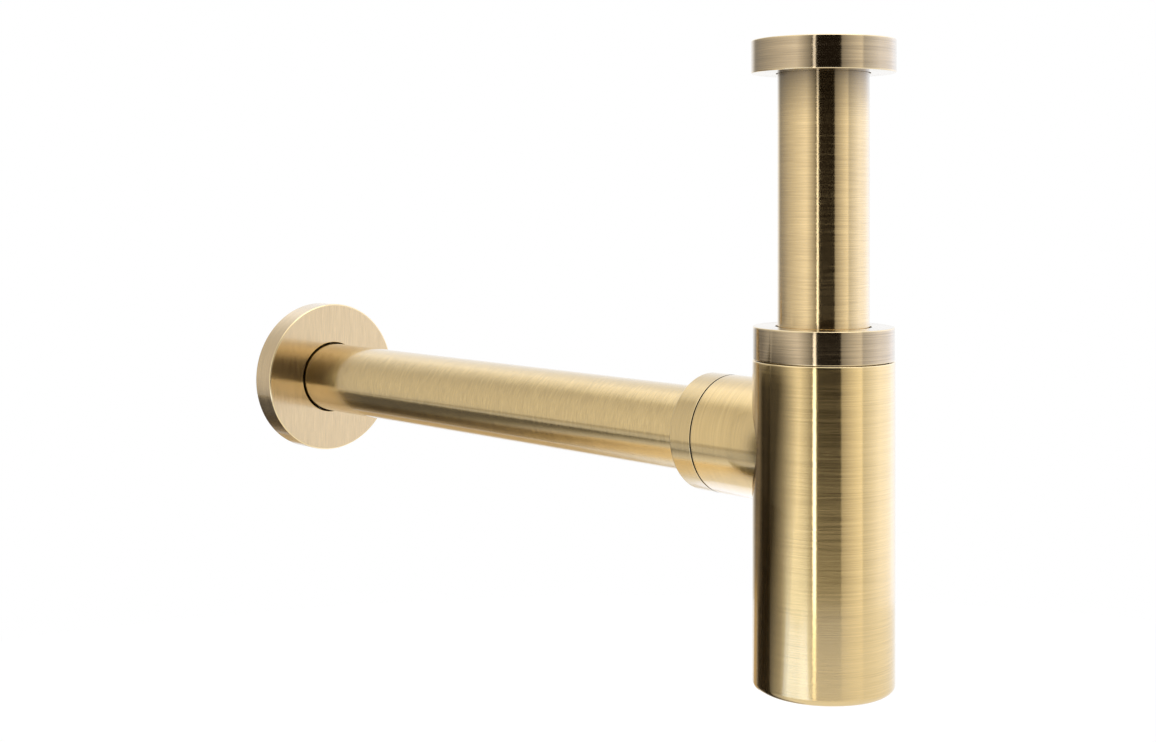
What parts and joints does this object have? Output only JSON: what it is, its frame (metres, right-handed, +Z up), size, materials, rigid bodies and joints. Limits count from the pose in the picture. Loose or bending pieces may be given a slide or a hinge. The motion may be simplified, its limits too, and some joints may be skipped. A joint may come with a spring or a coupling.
{
  "type": "bottle trap",
  "caption": "Brushed brass bottle trap for a wash basin: coupling nut, inlet tube into a plain cylindrical bottle with a lid nut, side outlet pipe and round wall rosette.",
  "frame": {"origin": "centre of the inlet mouth, on the top rim of the coupling nut", "axes": "+Z up along the inlet tube, +Y along the outlet pipe towards the wall, +X to the right when facing the wall"},
  "size_m": [0.07, 0.3626, 0.2257],
  "materials": {
    "brushed_brass": "brushed antique brass",
    "black_rubber": "matt rubber",
    "white_nylon": "plain nylon"
  },
  "bodies": {
    "coupling": {"coupling_nut": "brushed_brass"},
    "inlet": {"inlet_tube": "brushed_brass", "inlet_gasket": "black_rubber"},
    "bottle": {"bottle_body": "brushed_brass", "lid_cone_seal": "black_rubber", "outlet_cone_seal": "black_rubber"},
    "lid_ring": {"lid_slip_ring": "white_nylon"},
    "lid": {"lid_nut": "brushed_brass"},
    "outlet_ring": {"outlet_slip_ring": "white_nylon"},
    "outlet_cap": {"outlet_nut": "brushed_brass"},
    "pipe": {"outlet_pipe": "brushed_brass"},
    "rosette": {"wall_rosette": "brushed_brass", "rosette_grip_ring": "black_rubber"}
  },
  "joints": [
    {"name": "inlet_swivel", "type": "hinge", "parent": "coupling", "child": "inlet", "pos_m": [0, 0, 0], "axis": [0, 0, 1], "continuous": true},
    {"name": "height_adjust", "type": "slide", "parent": "inlet", "child": "bottle", "axis": [0, 0, 1], "range_m": [-0.006, 0.0055]},
    {"name": "lid_nut_rise", "type": "slide", "parent": "bottle", "child": "lid_ring", "axis": [0, 0, 1], "range_m": [0, 0.00605]},
    {"name": "lid_nut_turn", "type": "hinge", "parent": "lid_ring", "child": "lid", "pos_m": [0, 0, -0.105], "axis": [0, 0, 1], "range_deg": [0, 1440]},
    {"name": "outlet_nut_back_off", "type": "slide", "parent": "bottle", "child": "outlet_ring", "axis": [0, 1, 0], "range_m": [0, 0.0053]},
    {"name": "outlet_nut_turn", "type": "hinge", "parent": "outlet_ring", "child": "outlet_cap", "pos_m": [0, 0.049, -0.142], "axis": [0, 1, 0], "range_deg": [0, 1260]},
    {"name": "outlet_slide", "type": "slide", "parent": "bottle", "child": "pipe", "axis": [0, 1, 0], "range_m": [-0.006, 0.012]},
    {"name": "rosette_slide", "type": "slide", "parent": "pipe", "child": "rosette", "axis": [0, 1, 0], "range_m": [-0.235, 0.018]}
  ],
  "couplings": [
    {"joint": "lid_nut_rise", "follows": "lid_nut_turn", "m_per_rad": 0.00023873},
    {"joint": "outlet_nut_back_off", "follows": "outlet_nut_turn", "m_per_rad": 0.00023873}
  ]
}
